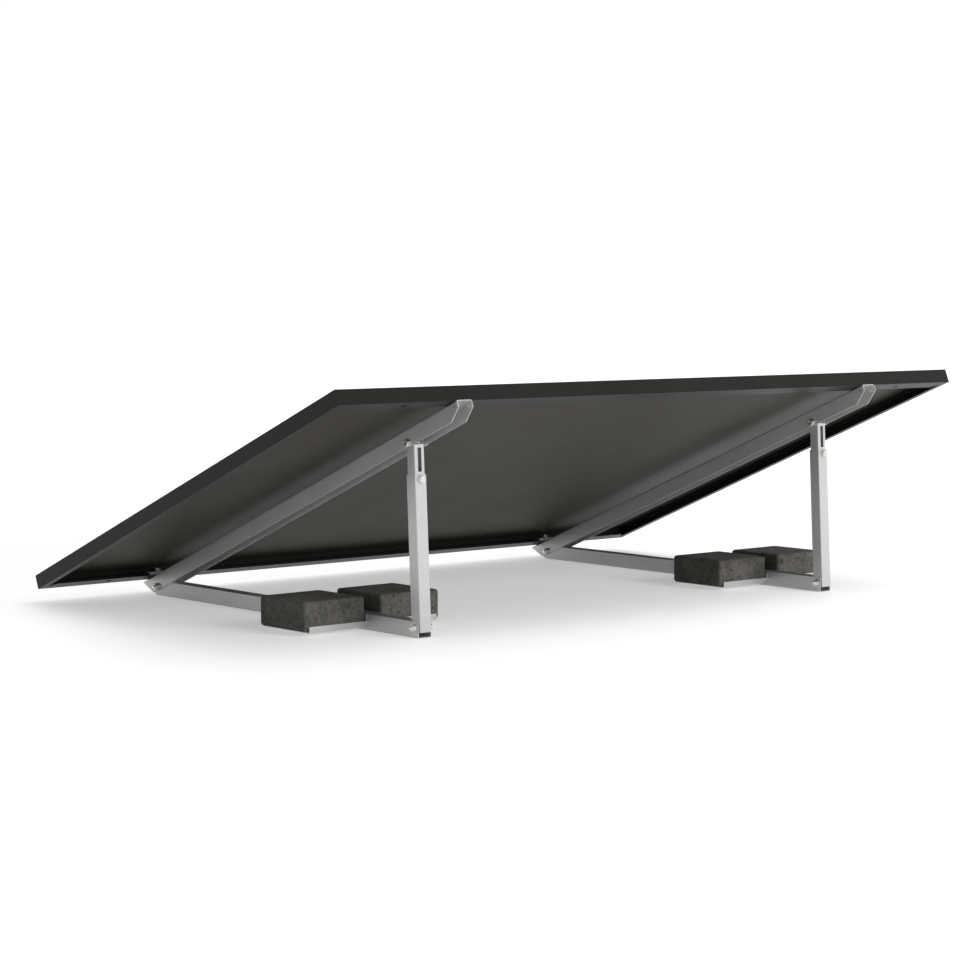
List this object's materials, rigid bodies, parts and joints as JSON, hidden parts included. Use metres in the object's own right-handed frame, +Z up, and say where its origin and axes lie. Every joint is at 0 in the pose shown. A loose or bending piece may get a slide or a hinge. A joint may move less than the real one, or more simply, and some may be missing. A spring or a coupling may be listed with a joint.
{
  "type": "solar ballast mount",
  "caption": "Free-standing tilted solar module on two triangular sheet-steel frames, each with a slotted telescopic rear leg and concrete ballast blocks in folded trays.",
  "frame": {"origin": "on the ground, at the centre of the whole object's bounding box", "axes": "+X along the module's long side, +Y from the module's low edge to its high edge, +Z up"},
  "size_m": [1.708, 1.0742, 0.4862],
  "materials": {
    "black_frame": "black anodised aluminium extrusion, satin",
    "key_aluminium": "bare aluminium corner keys, inside the frame",
    "front_glass": "lightly textured solar glass",
    "silicon_cells": "black silicon half cells",
    "backsheet": "dark brown-grey polymer backing sheet",
    "concrete": "dark grey cast concrete with fine pits",
    "coated_steel": "zinc-coated steel sheet, dull satin grey",
    "zinc_fasteners": "bright zinc-plated steel hardware"
  },
  "bodies": {
    "base": {"front_pivot_bolts": "zinc_fasteners", "front_pivot_nuts": "zinc_fasteners", "front_pivot_washers": "zinc_fasteners", "left_base_channel": "coated_steel", "left_left_ballast_block": "concrete", "left_left_tray": "coated_steel", "left_right_ballast_block": "concrete", "left_right_tray": "coated_steel", "rear_pivot_bolts": "zinc_fasteners", "rear_pivot_nuts": "zinc_fasteners", "rear_pivot_washers": "zinc_fasteners", "right_base_channel": "coated_steel", "right_left_ballast_block": "concrete", "right_left_tray": "coated_steel", "right_right_ballast_block": "concrete", "right_right_tray": "coated_steel", "tray_rivets": "zinc_fasteners"},
    "panel": {"clamp_bolts": "zinc_fasteners", "clamp_nuts": "zinc_fasteners", "clamp_washers": "zinc_fasteners", "frame_corner_keys": "key_aluminium", "frame_high": "black_frame", "frame_left": "black_frame", "frame_low": "black_frame", "frame_right": "black_frame", "front_glass": "front_glass", "high_clamp_bars": "coated_steel", "left_tilt_rail": "coated_steel", "low_clamp_bars": "coated_steel", "module_backsheet": "backsheet", "rail_end_studs": "zinc_fasteners", "right_tilt_rail": "coated_steel", "solar_cells": "silicon_cells", "top_pivot_bolts": "zinc_fasteners", "top_pivot_nuts": "zinc_fasteners", "top_pivot_spacers": "zinc_fasteners", "top_pivot_washers": "zinc_fasteners"},
    "left_lower_leg": {"left_outer_leg": "coated_steel", "left_lock_bolt": "zinc_fasteners", "left_lock_washer": "zinc_fasteners", "left_lock_nut": "zinc_fasteners"},
    "left_upper_leg": {"left_inner_leg": "coated_steel"},
    "right_lower_leg": {"right_outer_leg": "coated_steel", "right_lock_bolt": "zinc_fasteners", "right_lock_washer": "zinc_fasteners", "right_lock_nut": "zinc_fasteners"},
    "right_upper_leg": {"right_inner_leg": "coated_steel"}
  },
  "joints": [
    {"name": "panel_tilt", "type": "hinge", "parent": "base", "child": "panel", "pos_m": [0, -0.48137, 0.0195], "axis": [1, 0, 0], "range_deg": [-0.2, 2.2]},
    {"name": "left_leg_swing", "type": "hinge", "parent": "base", "child": "left_lower_leg", "pos_m": [-0.577, 0.40513, 0.0195], "axis": [1, 0, 0], "range_deg": [-0.2, 1.9]},
    {"name": "left_leg_extend", "type": "slide", "parent": "left_lower_leg", "child": "left_upper_leg", "axis": [0, -0.0511, 0.9987], "range_m": [-0.0035, 0.0342]},
    {"name": "right_leg_swing", "type": "hinge", "parent": "base", "child": "right_lower_leg", "pos_m": [0.563, 0.40513, 0.0195], "axis": [1, 0, 0], "range_deg": [-0.2, 1.9]},
    {"name": "right_leg_extend", "type": "slide", "parent": "right_lower_leg", "child": "right_upper_leg", "axis": [0, -0.0511, 0.9987], "range_m": [-0.0035, 0.0342]}
  ],
  "couplings": [
    {"joint": "left_leg_swing", "follows": "panel_tilt", "ratio": 0.84452},
    {"joint": "left_leg_extend", "follows": "panel_tilt", "m_per_rad": 0.88462},
    {"joint": "right_leg_swing", "follows": "panel_tilt", "ratio": 0.84452},
    {"joint": "right_leg_extend", "follows": "panel_tilt", "m_per_rad": 0.88462}
  ]
}
